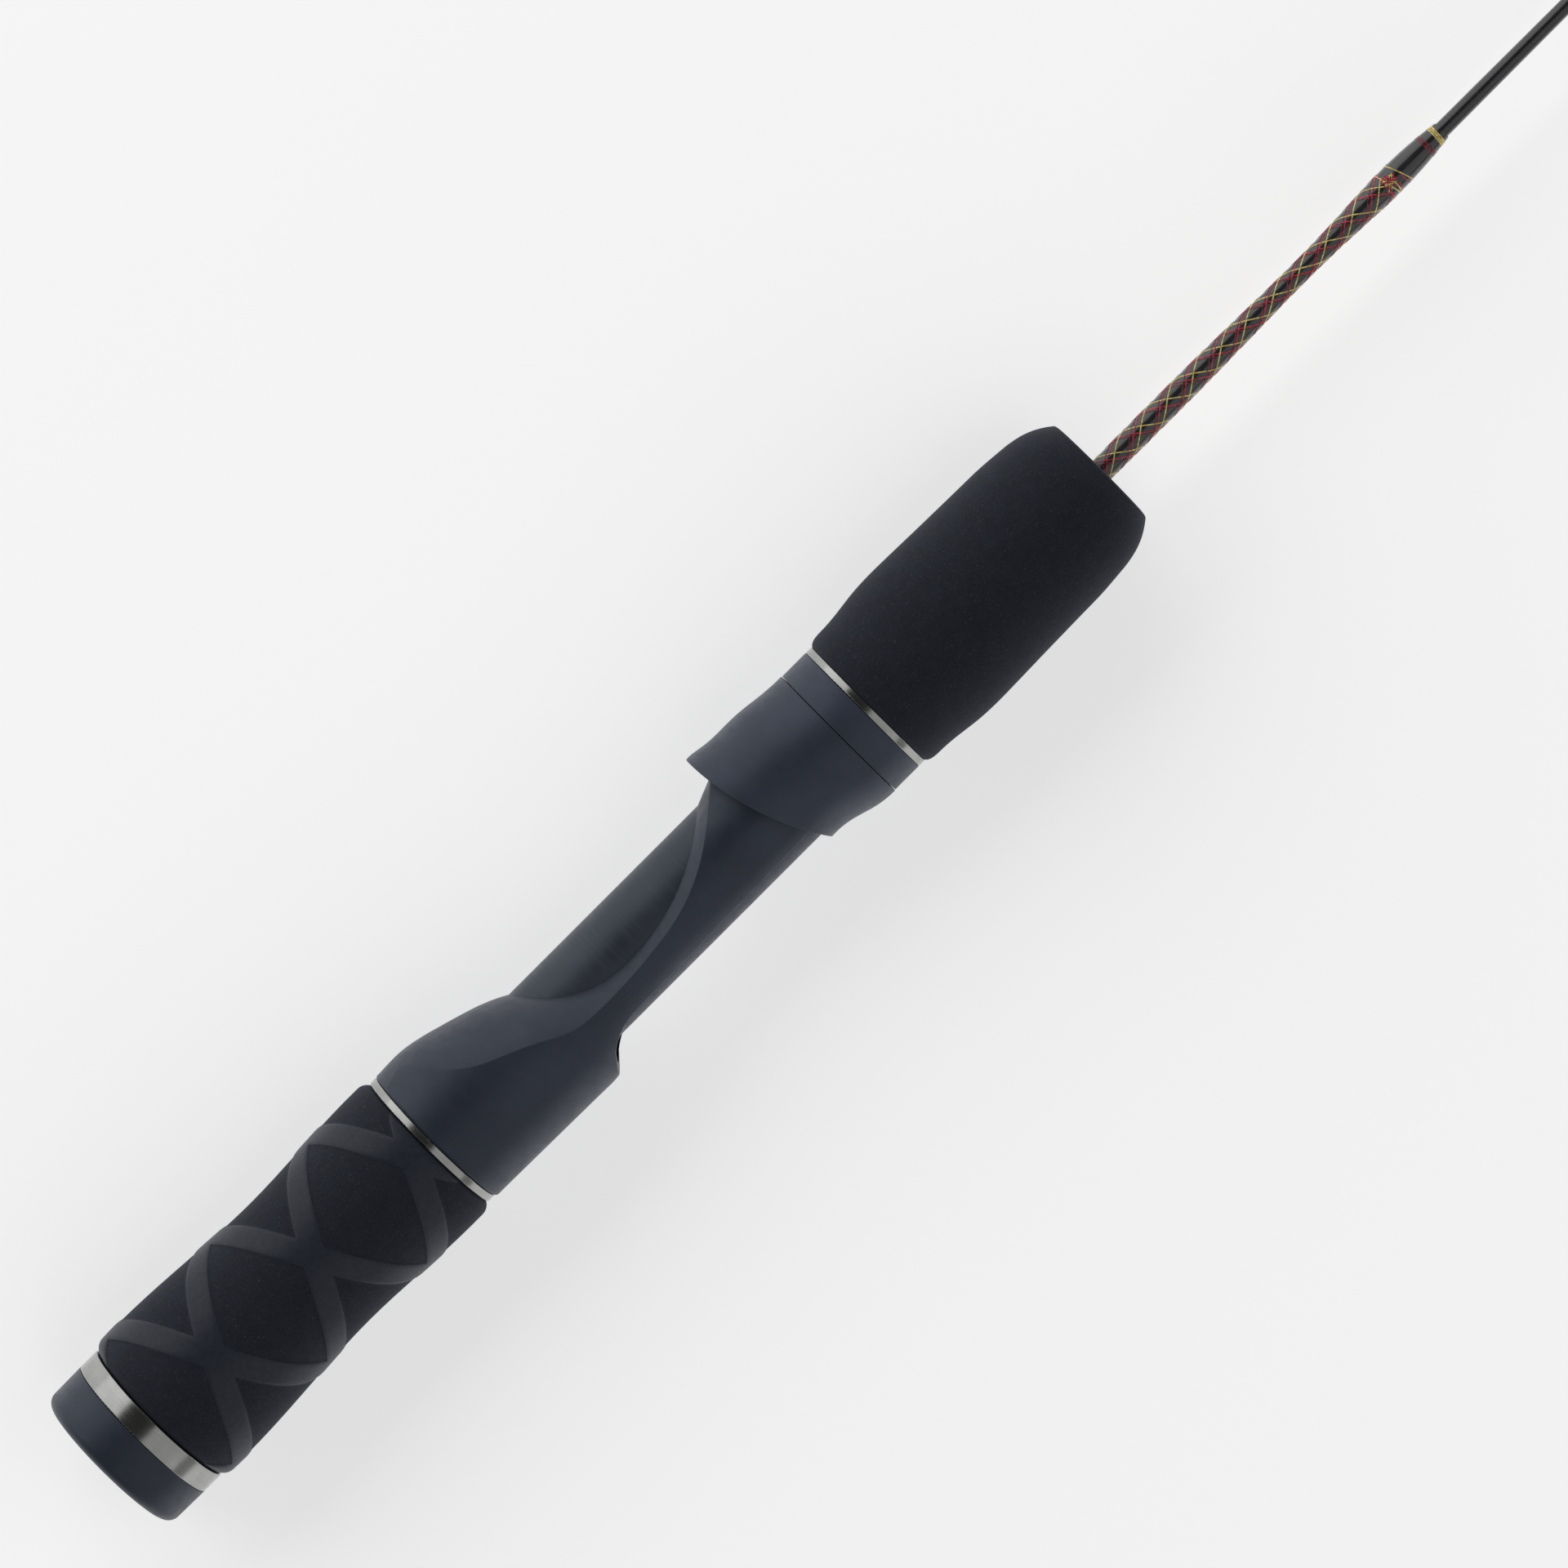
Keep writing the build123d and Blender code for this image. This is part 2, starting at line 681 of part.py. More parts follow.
def make_tip_wrap(end):
    """Varnished thread collar behind the tip-top."""
    start = end - tip_wrap_length
    inner = blank_outline(start, end)
    thick = thread_thickness
    return turned(*inner, (end, blank_radius(end) + thick), (start + 1.5, blank_radius(start) + thick),
                  (start, blank_radius(start) + 0.1))


# ---------------------------------------------------------------- the whole rod
def make_nodes():
    nodes = {
        "butt_cap": make_butt_cap(),
        "butt_ring": make_butt_ring(),
        "rear_grip": make_rear_grip(),
        "seat_ring": make_seat_ring(),
        "handle_tube": make_handle_tube(),
        "arbor_rear": make_arbor(rear_grip_x + 3),
        "arbor_middle": make_arbor(seat_x + 9),
        "arbor_front": make_arbor(window_end_x + 4),
        "nose_bush": make_nose_bush(),
        "reel_seat": make_reel_seat(),
        "slip_ring": make_slip_ring(),
        "hood": make_hood(),
        "lock_nut": make_lock_nut(),
        "grip_ring": make_grip_ring(),
        "foregrip": make_foregrip(),
        "blank": make_blank(),
        "solid_tip": make_solid_tip(),
        "butt_wrap": make_butt_wrap(),
        "butt_wrap_finish": make_butt_wrap_finish(),
    }
    for number, (from_tip, bore, height, feet) in enumerate(guide_layout, start=1):
        x = rod_length - from_tip
        frame = make_guide_frame(x, bore, height, feet)
        nodes[f"guide_{number}_frame"] = frame
        nodes[f"guide_{number}_ring"] = make_insert(x, -height, bore)
        for direction in feet:
            end_name = "front" if direction > 0 else "rear"
            nodes[f"guide_{number}_{end_name}_wrap"] = make_guide_wrap(x, direction, frame)
    tip_end = rod_length
    nodes["tip_top"] = make_tip_top(tip_end)
    nodes["tip_top_ring"] = make_insert(tip_ring_x(), -tip_ring_drop, tip_ring_bore)
    nodes["tip_wrap"] = make_tip_wrap(tip_end - tip_tube_length)
    return nodes


os.makedirs("parts", exist_ok=True)
for name, solid in make_nodes().items():
    solid.label = name
    export_step(solid, f"parts/{name}.step")
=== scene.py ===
"""An ice fishing rod: the looks around its CAD frame.

+X runs from the butt to the tip, the reel side is -Y, and the rod lies on its flank with +Z up.
"""

import json
import math
import random

import bmesh
import bpy
from mathutils import Matrix, Vector


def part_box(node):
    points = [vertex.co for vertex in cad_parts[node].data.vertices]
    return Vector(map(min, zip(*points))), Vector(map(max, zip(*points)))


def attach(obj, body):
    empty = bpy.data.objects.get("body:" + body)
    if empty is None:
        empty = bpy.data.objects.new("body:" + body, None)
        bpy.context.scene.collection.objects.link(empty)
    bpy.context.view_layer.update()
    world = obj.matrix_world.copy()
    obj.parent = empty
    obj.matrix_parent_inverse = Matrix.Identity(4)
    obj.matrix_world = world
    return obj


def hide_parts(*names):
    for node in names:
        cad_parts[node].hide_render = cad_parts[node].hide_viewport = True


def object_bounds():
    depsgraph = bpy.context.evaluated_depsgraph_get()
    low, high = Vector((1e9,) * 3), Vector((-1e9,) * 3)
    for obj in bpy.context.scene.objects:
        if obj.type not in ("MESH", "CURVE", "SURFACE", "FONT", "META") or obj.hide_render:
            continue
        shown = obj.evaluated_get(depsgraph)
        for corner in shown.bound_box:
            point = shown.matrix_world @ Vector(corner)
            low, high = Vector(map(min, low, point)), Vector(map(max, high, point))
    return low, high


MM = 0.001

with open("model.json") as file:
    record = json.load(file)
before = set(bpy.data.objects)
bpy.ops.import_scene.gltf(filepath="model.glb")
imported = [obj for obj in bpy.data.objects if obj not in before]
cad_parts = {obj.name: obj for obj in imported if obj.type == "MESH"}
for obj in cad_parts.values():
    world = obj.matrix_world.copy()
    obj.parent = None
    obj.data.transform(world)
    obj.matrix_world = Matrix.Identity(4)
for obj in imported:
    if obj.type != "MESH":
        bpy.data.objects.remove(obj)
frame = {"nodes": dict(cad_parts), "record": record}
cad_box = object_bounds()
nodes = frame["nodes"]

# ---------------------------------------------------------------- sizes in metres, angles, counts
foam_step = 0.36 * MM
corner_angle = math.radians(40)
straight_steps = 6
foregrip_sides = 230
lattice_floor = 0.85
lattice_lead = 42.8 * MM
lattice_starts = 2
lattice_crossing = 24.6 * MM
lattice_width = 3.9 * MM
lattice_rise = 0.22 * MM
lattice_edge = 0.35 * MM

epoxy_lift = 0.01 * MM
over_thread_lift = 0.004 * MM
wrap_lead = 17.1 * MM
wrap_starts = 3
gold_width = 0.22 * MM
red_width = 0.22 * MM
sunk_width = 0.17 * MM
thread_height = 0.055 * MM
wrap_crossing_angle = math.radians(14)
gold_crossing_inset = 3.4 * MM
red_crossing_inset = 1.8 * MM
sunk_crossing_inset = 1.1 * MM
pattern_length = 61.5 * MM
hidden_pattern = 12.0 * MM
tie_off_inset = 62.2 * MM
gold_strands, gold_loose_turns = 6, 2
red_strands, red_loose_turns = 9, 4
strand_swing = 0.2
strand_reach = (0.8 * MM, 1.5 * MM)
strand_shift = 0.5 * MM
strand_steps = 4
strand_lift = 0.03 * MM
strand_pile = 0.012 * MM
loose_spread = (-1.3 * MM, 1.6 * MM)
loose_lean = 0.9 * MM
loose_start = 6
loose_turn = (3.6, 5.6)
loose_advance = 0.6 * MM
slanted_ring_inset = 64.3 * MM
slanted_ring_lean = 0.85 * MM
red_band_inset = 70.1 * MM
red_band_step = 0.3 * MM
red_band_lean = 0.08 * MM
gold_band_inset = 72.3 * MM
gold_band_step = 0.32 * MM
gold_band_lean = -0.1 * MM
gold_band_width = 0.3 * MM

wander_turn = 0.05
waver_turn = 0.04
waver_step = 0.11
helix_steps = 36
ring_steps = 48

trim_turns = 2
trim_gap = 0.25 * MM
trim_step = 0.3 * MM
trim_width = 0.28 * MM
trim_height = 0.06 * MM
trim_lift = 0.03 * MM
trim_sides = 32

view_target = Vector((0.147, 0.0004, 0))
camera_offset = Vector((0.0295, -0.0004, 1.313))
camera_lens = 197
camera_sensor = 36
camera_reach = 20
floor_half = 6.0
floor_patch = 0.25
floor_glow = 0.56
softbox_distance = 1.3
softbox_length = 2.2
sky_low, sky_high = 0.15, 0.75
horizon_glow, zenith_glow = 0.25, 0.03


# ---------------------------------------------------------------- shapes read from the frame
def section_loop(node):
    """The outline (x, radius) of a turned CAD node, read from its mesh in the +Y half-plane."""
    mesh = nodes[node].data
    links = {}
    for edge in mesh.edges:
        a, b = (mesh.vertices[i].co for i in edge.vertices)
        if max(abs(a.z), abs(b.z)) > 1e-7 or min(a.y, b.y) <= 0:
            continue
        start, end = ((round(p.x, 7), round(p.y, 7)) for p in (a, b))
        if start != end:
            links.setdefault(start, []).append(end)
            links.setdefault(end, []).append(start)
    open_ends = [p for p in links if len(links[p]) == 1]
    first = min(open_ends or links)
    loop, here, last = [first], max(links[first], key=lambda p: p[1]), first
    while here != first:
        loop.append(here)
        onward = [p for p in links[here] if p != last]
        if not onward:
            break
        last, here = here, onward[0]
    return [Vector(p) for p in loop]


def outer_radius(loop, x):
    """The largest radius of an outline at one station."""
    best = 0.0
    for a, b in zip(loop, loop[1:] + loop[:1]):
        if a.x == b.x:
            continue
        share = (x - a.x) / (b.x - a.x)
        if 0 <= share <= 1:
            best = max(best, a.y + share * (b.y - a.y))
    return best


def smooth_between(p0, p1, p2, p3, share):
    """A point on the Catmull-Rom curve from p1 to p2."""
    a = 2 * p1
    b = p2 - p0
    c = 2 * p0 - 5 * p1 + 4 * p2 - p3
    d = 3 * p1 - p0 - 3 * p2 + p3
    return 0.5 * (a + b * share + c * share ** 2 + d * share ** 3)


def refined(loop, step):
    """The outline with its curved stretches smoothed and cut into short steps.

    Sharp corners stay, and so do long straight stretches.
    """
    count = len(loop)

    def is_corner(i):
        before = loop[i] - loop[i - 1]
        after = loop[(i + 1) % count] - loop[i]
        return before.angle(after) > corner_angle

    fine = []
    for i in range(count):
        p1, p2 = loop[i], loop[(i + 1) % count]
        corner_1, corner_2 = is_corner(i), is_corner((i + 1) % count)
        fine.append(p1.copy())
        if corner_1 and corner_2:
            continue
        p0 = p1 - (p2 - p1) if corner_1 else loop[i - 1]
        p3 = p2 + (p2 - p1) if corner_2 else loop[(i + 2) % count]
        steps = max(1, round((p2 - p1).length / step))
        flat = (p2 - p1).length > straight_steps * step
        for k in range(1, steps):
            share = k / steps
            fine.append(p1.lerp(p2, share) if flat else smooth_between(p0, p1, p2, p3, share))
    return fine


# ---------------------------------------------------------------- building meshes
def new_piece(name, vertices, faces, material, body):
    """A mesh of its own that rides on a body and stands in a material slot."""
    mesh = bpy.data.meshes.new(name)
    mesh.from_pydata(vertices, [], faces)
    mesh.update()
    piece = bpy.data.objects.new(name, mesh)
    bpy.context.scene.collection.objects.link(piece)
    mesh.materials.append(material)
    mesh.shade_smooth()
    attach(piece, body)
    return piece


def facing_out(piece):
    """Turns every face of a closed piece outwards."""
    form = bmesh.new()
    form.from_mesh(piece.data)
    bmesh.ops.recalc_face_normals(form, faces=form.faces)
    form.to_mesh(piece.data)
    form.free()


def on_rod(x, radius, angle):
    """A point at a station, a radius, and an angle from +Z towards +Y."""
    return Vector((x, radius * math.sin(angle), radius * math.cos(angle)))


def turned_grid(loop, around, rise=None):
    """Vertices and faces of a closed outline turned round the rod. rise moves points outwards."""
    vertices, faces = [], []
    for x, radius in loop:
        for k in range(around):
            angle = 2 * math.pi * k / around
            extra = rise(x, radius, angle) if rise else 0.0
            vertices.append(on_rod(x, radius + extra, angle))
    rows = len(loop)
    for i in range(rows):
        for k in range(around):
            a, b = i * around, ((i + 1) % rows) * around
            n = (k + 1) % around
            faces.append((a + k, a + n, b + n, b + k))
    return vertices, faces


def thread_strip(path, width, height):
    """A flat thread lying on a surface: path holds (point, outward direction) pairs."""
    profile = [(-0.5, -0.4), (-0.42, 0.55), (-0.18, 0.95), (0.18, 0.95), (0.42, 0.55), (0.5, -0.4)]
    vertices, faces = [], []
    for i, (point, outward) in enumerate(path):
        ahead = path[min(i + 1, len(path) - 1)][0] - path[max(i - 1, 0)][0]
        across = ahead.cross(outward).normalized()
        for s, h in profile:
            vertices.append(point + across * (s * width) + outward * (h * height))
    size = len(profile)
    for i in range(len(path) - 1):
        for k in range(size):
            n = (k + 1) % size
            a, b = i * size, (i + 1) * size
            faces.append((a + k, b + k, b + n, a + n))
    last = (len(path) - 1) * size
    faces.append(tuple(range(size)))
    faces.append(tuple(last + k for k in reversed(range(size))))
    return vertices, faces


def joined(strips):
    """Several strips as one list of vertices and one of faces."""
    vertices, faces = [], []
    for some_vertices, some_faces in strips:
        base = len(vertices)
        vertices += some_vertices
        faces += [tuple(base + i for i in face) for face in some_faces]
    return vertices, faces


# ---------------------------------------------------------------- material helpers
class Nodes:
    """A material's node tree, with short calls for what the materials below repeat."""

    def __init__(self, name):
        self.material = bpy.data.materials.new(name)
        self.material.use_nodes = True
        self.tree = self.material.node_tree
        self.shader = self.tree.nodes["Principled BSDF"]

    def add(self, kind, **settings):
        node = self.tree.nodes.new(kind)
        for key, value in settings.items():
            setattr(node, key, value)
        return node

    def link(self, output, target):
        self.tree.links.new(output, target)

    def feed(self, target, value):
        """Links a socket, or sets a plain value."""
        if isinstance(value, bpy.types.NodeSocket):
            self.link(value, target)
        else:
            target.default_value = value

    def place(self, stretch=(1, 1, 1)):
        """Object coordinates, stretched along each axis."""
        where = self.add("ShaderNodeTexCoord").outputs["Object"]
        mapping = self.add("ShaderNodeMapping")
        mapping.inputs["Scale"].default_value = stretch
        self.link(where, mapping.inputs["Vector"])
        return mapping.outputs["Vector"]

    def noise(self, size, detail=4.0, rough=0.55, stretch=(1, 1, 1)):
        """Cloudy noise whose lumps are about this size."""
        texture = self.add("ShaderNodeTexNoise")
        self.link(self.place(stretch), texture.inputs["Vector"])
        texture.inputs["Scale"].default_value = 1 / size
        texture.inputs["Detail"].default_value = detail
        texture.inputs["Roughness"].default_value = rough
        return texture.outputs["Fac"]

    def cells(self, size):
        """Distance to the middle of the nearest cell."""
        texture = self.add("ShaderNodeTexVoronoi", feature="F1")
        self.link(self.place(), texture.inputs["Vector"])
        texture.inputs["Scale"].default_value = 1 / size
        return texture.outputs["Distance"]

    def ramp(self, value, low, high, from_value=0.0, to_value=1.0):
        """Takes low..high to from_value..to_value, smoothly."""
        change = self.add("ShaderNodeMapRange", interpolation_type="SMOOTHSTEP")
        self.link(value, change.inputs["Value"])
        change.inputs["From Min"].default_value = low
        change.inputs["From Max"].default_value = high
        change.inputs["To Min"].default_value = from_value
        change.inputs["To Max"].default_value = to_value
        return change.outputs["Result"]

    def math(self, operation, a, b=0.0):
        node = self.add("ShaderNodeMath", operation=operation)
        self.feed(node.inputs[0], a)
        self.feed(node.inputs[1], b)
        return node.outputs["Value"]

    def mix(self, share, a, b):
        """A colour between a and b."""
        node = self.add("ShaderNodeMix", data_type="RGBA")
        self.feed(node.inputs["Factor"], share)
        for target, colour in ((node.inputs["A"], a), (node.inputs["B"], b)):
            self.feed(target, colour if isinstance(colour, bpy.types.NodeSocket) else (*colour, 1))
        return node.outputs["Result"]

    def bump(self, height, distance, strength=1.0, under=None):
        """A normal bumped by a height, on top of another normal if there is one."""
        node = self.add("ShaderNodeBump")
        self.link(height, node.inputs["Height"])
        node.inputs["Distance"].default_value = distance
        node.inputs["Strength"].default_value = strength
        if under is not None:
            self.link(under, node.inputs["Normal"])
        return node.outputs["Normal"]

    def soft_edges(self, radius):
        """The surface normal with edges rounded over this radius."""
        node = self.add("ShaderNodeBevel", samples=6)
        node.inputs["Radius"].default_value = radius
        return node.outputs["Normal"]

    def edge_share(self, radius):
        """1 on sharp edges, 0 on open surfaces."""
        rounded = self.soft_edges(radius)
        plain = self.add("ShaderNodeNewGeometry").outputs["Normal"]
        compare = self.add("ShaderNodeVectorMath", operation="DOT_PRODUCT")
        self.link(rounded, compare.inputs[0])
        self.link(plain, compare.inputs[1])
        return self.ramp(compare.outputs["Value"], 0.86, 0.998, 1.0, 0.0)

    def set(self, **values):
        """Sets or links the shader's sockets, with underscores for spaces."""
        for key, value in values.items():
            self.feed(self.shader.inputs[key.replace("_", " ")], value)
        return self.material


# ---------------------------------------------------------------- materials
def seat_plastic(name="seat_plastic", dark=(0.029, 0.035, 0.054), light=(0.040, 0.048, 0.073)):
    """Soft-touch painted plastic, slate blue-black, fine grain; edges lighter as wear and painted
    highlight.
    """
    n = Nodes(name)
    drift = n.noise(14 * MM, detail=3)
    grain = n.noise(0.16 * MM, detail=2, rough=0.7)
    body = n.mix(n.ramp(drift, 0.3, 0.7), dark, light)
    speck = n.ramp(n.noise(0.35 * MM, detail=1), 0.66, 0.74)
    body = n.mix(n.math("MULTIPLY", speck, 0.25), body, (0.085, 0.092, 0.11))
    # Edges painted lighter: partly rubbed wear, partly painted highlight where the edges catch the
    # light.
    edge_wear_and_highlight = n.edge_share(0.25 * MM)
    body = n.mix(n.math("MULTIPLY", edge_wear_and_highlight, 0.55), body, (0.12, 0.13, 0.155))
    scuff = n.noise(2.2 * MM, detail=5, rough=0.75, stretch=(1, 0.25, 1))
    gloss = n.ramp(scuff, 0.35, 0.7, 0.39, 0.51)
    normal = n.bump(grain, 0.012 * MM, 0.55, under=n.soft_edges(0.22 * MM))
    return n.set(Base_Color=body, Roughness=gloss, Normal=normal, IOR=1.48,
                 Specular_Tint=(0.78, 0.86, 1, 1))


def tube_paint():
    """The painted handle tube, with faint marks round it."""
    n = Nodes("tube_paint")
    drift = n.noise(9 * MM, detail=3)
    streak = n.noise(0.5 * MM, detail=3, stretch=(1, 0.04, 0.04))
    body = n.mix(n.ramp(drift, 0.3, 0.7), (0.034, 0.040, 0.055), (0.050, 0.058, 0.077))
    body = n.mix(n.math("MULTIPLY", n.ramp(streak, 0.45, 0.75), 0.25), body, (0.09, 0.10, 0.125))
    grain = n.noise(0.2 * MM, detail=2)
    normal = n.bump(grain, 0.01 * MM, 0.5)
    return n.set(Base_Color=body, Roughness=n.ramp(streak, 0.3, 0.7, 0.4, 0.5), Normal=normal,
                 Specular_Tint=(0.78, 0.86, 1, 1))


def foam(name, banded):
    """Closed-cell grip foam: blue-black and velvety, with fine cells. Bands are pressed smooth."""
    n = Nodes(name)
    cloud = n.noise(2.0 * MM, detail=4, rough=0.6)
    pores = n.cells(0.3 * MM)
    dust = n.ramp(n.noise(0.3 * MM, detail=2, rough=0.8), 0.62, 0.72)
    base = n.mix(n.ramp(cloud, 0.3, 0.7), (0.0150, 0.0185, 0.0290), (0.0190, 0.0230, 0.0360))
    base = n.mix(n.math("MULTIPLY", dust, 0.6), base, (0.105, 0.11, 0.125))
    # The pores are painted darker: painted shade in the pits the bump sinks.
    base = n.mix(n.ramp(pores, 0.0, 0.35, 0.5, 0.0), base, (0.007, 0.008, 0.011))
    cell_height = n.math("ADD", n.math("MULTIPLY", pores, 0.6),
                         n.noise(0.12 * MM, detail=2, rough=0.7))
    normal = n.bump(cell_height, 0.035 * MM, 0.75)
    rough = n.ramp(pores, 0.1, 0.6, 0.93, 0.8)
    if banded:
        shares = [n.ramp(band_field(n, side), 0.485 * lattice_width, 0.515 * lattice_width, 1, 0)
                  for side in ("band_right", "band_left")]
        band = n.math("MAXIMUM", *shares)
        print_mark = n.noise(0.9 * MM, detail=4, rough=0.7)
        smooth = n.mix(n.ramp(print_mark, 0.3, 0.7), (0.021, 0.025, 0.039), (0.028, 0.034, 0.051))
        base = n.mix(band, base, smooth)
        rough = n.math("SUBTRACT", rough, n.math("MULTIPLY", band, 0.36))
        fine = n.bump(n.noise(0.2 * MM, detail=3), 0.01 * MM, 0.6)
        blend = n.add("ShaderNodeMix", data_type="VECTOR")
        n.link(band, blend.inputs["Factor"])
        n.link(normal, blend.inputs["A"])
        n.link(fine, blend.inputs["B"])
        normal = blend.outputs["Result"]
    return n.set(Base_Color=base, Roughness=rough, Normal=normal, Sheen_Weight=0.07,
                 Sheen_Roughness=0.45, Sheen_Tint=(0.7, 0.78, 1, 1), Specular_IOR_Level=0.3)


def band_field(n, attribute):
    """Distance to the nearest band of one hand, kept on the mesh."""
    return n.add("ShaderNodeAttribute", attribute_name=attribute).outputs["Fac"]


def trim_metal():
    """Turned and brushed metal rings."""
    n = Nodes("trim_metal")
    turned = n.noise(0.05 * MM, detail=2, stretch=(1, 0.01, 0.01))
    patch = n.noise(5 * MM, detail=3)
    tone = n.mix(n.ramp(patch, 0.3, 0.7), (0.36, 0.36, 0.35), (0.43, 0.43, 0.415))
    tone = n.mix(n.math("MULTIPLY", n.ramp(turned, 0.5, 0.75), 0.35), tone, (0.24, 0.24, 0.24))
    rough = n.ramp(turned, 0.3, 0.7, 0.16, 0.25)
    normal = n.bump(turned, 0.003 * MM, 0.5, under=n.soft_edges(0.12 * MM))
    return n.set(Base_Color=tone, Metallic=1.0, Roughness=rough, Normal=normal)


def blank_gloss():
    """Clear-coated black carbon, with faint scrim marks round the blank."""
    n = Nodes("blank_gloss")
    scrim = n.noise(0.35 * MM, detail=3, stretch=(1, 0.05, 0.05))
    cloud = n.noise(6 * MM, detail=3)
    base = n.mix(n.ramp(scrim, 0.4, 0.75), (0.012, 0.0115, 0.0150), (0.030, 0.029, 0.034))
    rough = n.ramp(cloud, 0.3, 0.7, 0.3, 0.42)
    normal = n.bump(scrim, 0.004 * MM, 0.4)
    return n.set(Base_Color=base, Roughness=rough, Normal=normal, Coat_Weight=0.8,
                 Coat_Roughness=0.09, Coat_IOR=1.5)


def varnish(name, thread_pitch, shine):
    """Black winding thread under clear epoxy, its turns showing faintly as a painted highlight on
    each crown.
    """
    n = Nodes(name)
    where = n.place()
    split = n.add("ShaderNodeSeparateXYZ")
    n.link(where, split.inputs["Vector"])
    turn = n.math("FRACT", n.math("DIVIDE", split.outputs["X"], thread_pitch))
    crown = n.math("SINE", n.math("MULTIPLY", turn, math.pi))
    cloud = n.noise(2.5 * MM, detail=3)
    dark = n.mix(n.ramp(cloud, 0.3, 0.7), (0.008, 0.0075, 0.0095), (0.015, 0.0135, 0.0165))
    # The crown of each turn is painted lighter: painted highlight, with the grooves left dark.
    base = n.mix(n.ramp(crown, 0.3, 1.0), dark, (0.030, 0.026, 0.031))
    bubble = n.ramp(n.cells(1.1 * MM), 0.02, 0.06, 1.0, 0.0)
    base = n.mix(n.math("MULTIPLY", bubble, 0.5), base, (0.09, 0.09, 0.085))
    normal = n.bump(crown, 0.01 * MM, 0.4)
    flow = n.noise(3.5 * MM, detail=2)
    coat_normal = n.bump(flow, 0.05 * MM, 0.5)
    n.link(coat_normal, n.shader.inputs["Coat Normal"])
    return n.set(Base_Color=base, Roughness=n.ramp(cloud, 0.3, 0.7, 0.3, 0.4), Normal=normal,
                 Coat_Weight=shine, Coat_Roughness=0.04, Coat_IOR=1.52)


def metallic_thread(name, bright, deep):
    """Foil-wound thread under epoxy, painted brighter in short dashes as painted glints."""
    n = Nodes(name)
    painted_glint = n.noise(0.42 * MM, detail=1, rough=0.4)
    fleck = n.cells(0.3 * MM)
    # Painted glints: the colour runs from deep to bright in short dashes along the thread.
    tone = n.mix(n.ramp(painted_glint, 0.35, 0.62), deep, bright)
    rough = n.ramp(fleck, 0.1, 0.6, 0.28, 0.5)
    normal = n.bump(fleck, 0.02 * MM, 0.6)
    return n.set(Base_Color=tone, Metallic=0.35, Roughness=rough, Normal=normal, Coat_Weight=0.6,
                 Coat_Roughness=0.06)


def guide_steel():
    """Polished stainless wire and stampings."""
    n = Nodes("guide_steel")
    patch = n.noise(1.5 * MM, detail=4)
    tone = n.mix(n.ramp(patch, 0.3, 0.7), (0.5, 0.5, 0.51), (0.6, 0.6, 0.61))
    rough = n.ramp(n.noise(0.4 * MM, detail=3), 0.3, 0.7, 0.14, 0.27)
    normal = n.bump(n.noise(0.15 * MM, detail=2), 0.004 * MM, 0.5)
    return n.set(Base_Color=tone, Metallic=1.0, Roughness=rough, Normal=normal)


def ring_ceramic():
    """Dark, highly polished ceramic."""
    n = Nodes("ring_ceramic")
    cloud = n.noise(0.8 * MM, detail=3)
    tone = n.mix(n.ramp(cloud, 0.3, 0.7), (0.012, 0.012, 0.014), (0.022, 0.022, 0.025))
    normal = n.bump(n.noise(0.1 * MM, detail=2), 0.001 * MM, 0.5)
    return n.set(Base_Color=tone, Roughness=n.ramp(cloud, 0.3, 0.7, 0.07, 0.13), Normal=normal,
                 IOR=2.1)


def core_plastic():
    """Unpainted moulded plastic of the hidden cores and the slip ring."""
    n = Nodes("core_plastic")
    cloud = n.noise(4 * MM, detail=4)
    tone = n.mix(n.ramp(cloud, 0.3, 0.7), (0.034, 0.036, 0.042), (0.050, 0.053, 0.060))
    normal = n.bump(n.noise(0.3 * MM, detail=3), 0.015 * MM, 0.6, under=n.soft_edges(0.15 * MM))
    return n.set(Base_Color=tone, Roughness=n.ramp(cloud, 0.3, 0.7, 0.42, 0.55), Normal=normal)


def dress_cad_nodes():
    """Gives every CAD node the procedural material of its record slot."""
    by_slot = {
        "seat_plastic": seat_plastic(),
        "core_plastic": core_plastic(),
        "foam": foam("foam_hidden", banded=False),
        "trim_metal": trim_metal(),
        "blank_gloss": blank_gloss(),
        "thread_varnish": varnish("guide_varnish", 0.17 * MM, 0.9),
        "guide_steel": guide_steel(),
        "ring_ceramic": ring_ceramic(),
    }
    for part in frame["record"]["subparts"]:
        materials = nodes[part["node"]].data.materials
        materials.clear()
        materials.append(by_slot[part["material_slot"]])
    for name in ("butt_wrap", "butt_wrap_finish"):
        nodes[name].data.materials[0] = varnish(f"{name}_varnish", 0.2 * MM, 1.0)
    nodes["handle_tube"].data.materials[0] = tube_paint()
    nodes["butt_cap"].data.materials[0] = seat_plastic("cap_plastic", (0.025, 0.030, 0.045),
                                                       (0.035, 0.042, 0.062))
    # The hood and the nut take a lighter copy of the seat plastic: painted highlight for the
    # brighter light they catch.
    for name in ("hood", "lock_nut"):
        nodes[name].data.materials[0] = seat_plastic(f"{name}_plastic", (0.037, 0.044, 0.067),
                                                     (0.050, 0.059, 0.088))


# ---------------------------------------------------------------- foam grips
def lattice_distance(x, angle, side):
    """Distance from a point to the middle of the nearest band of one hand."""
    spacing = lattice_lead / lattice_starts
    turns = (x - lattice_crossing) / spacing - side * angle * lattice_starts / (2 * math.pi)
    return abs(turns - round(turns)) * spacing * lattice_slope


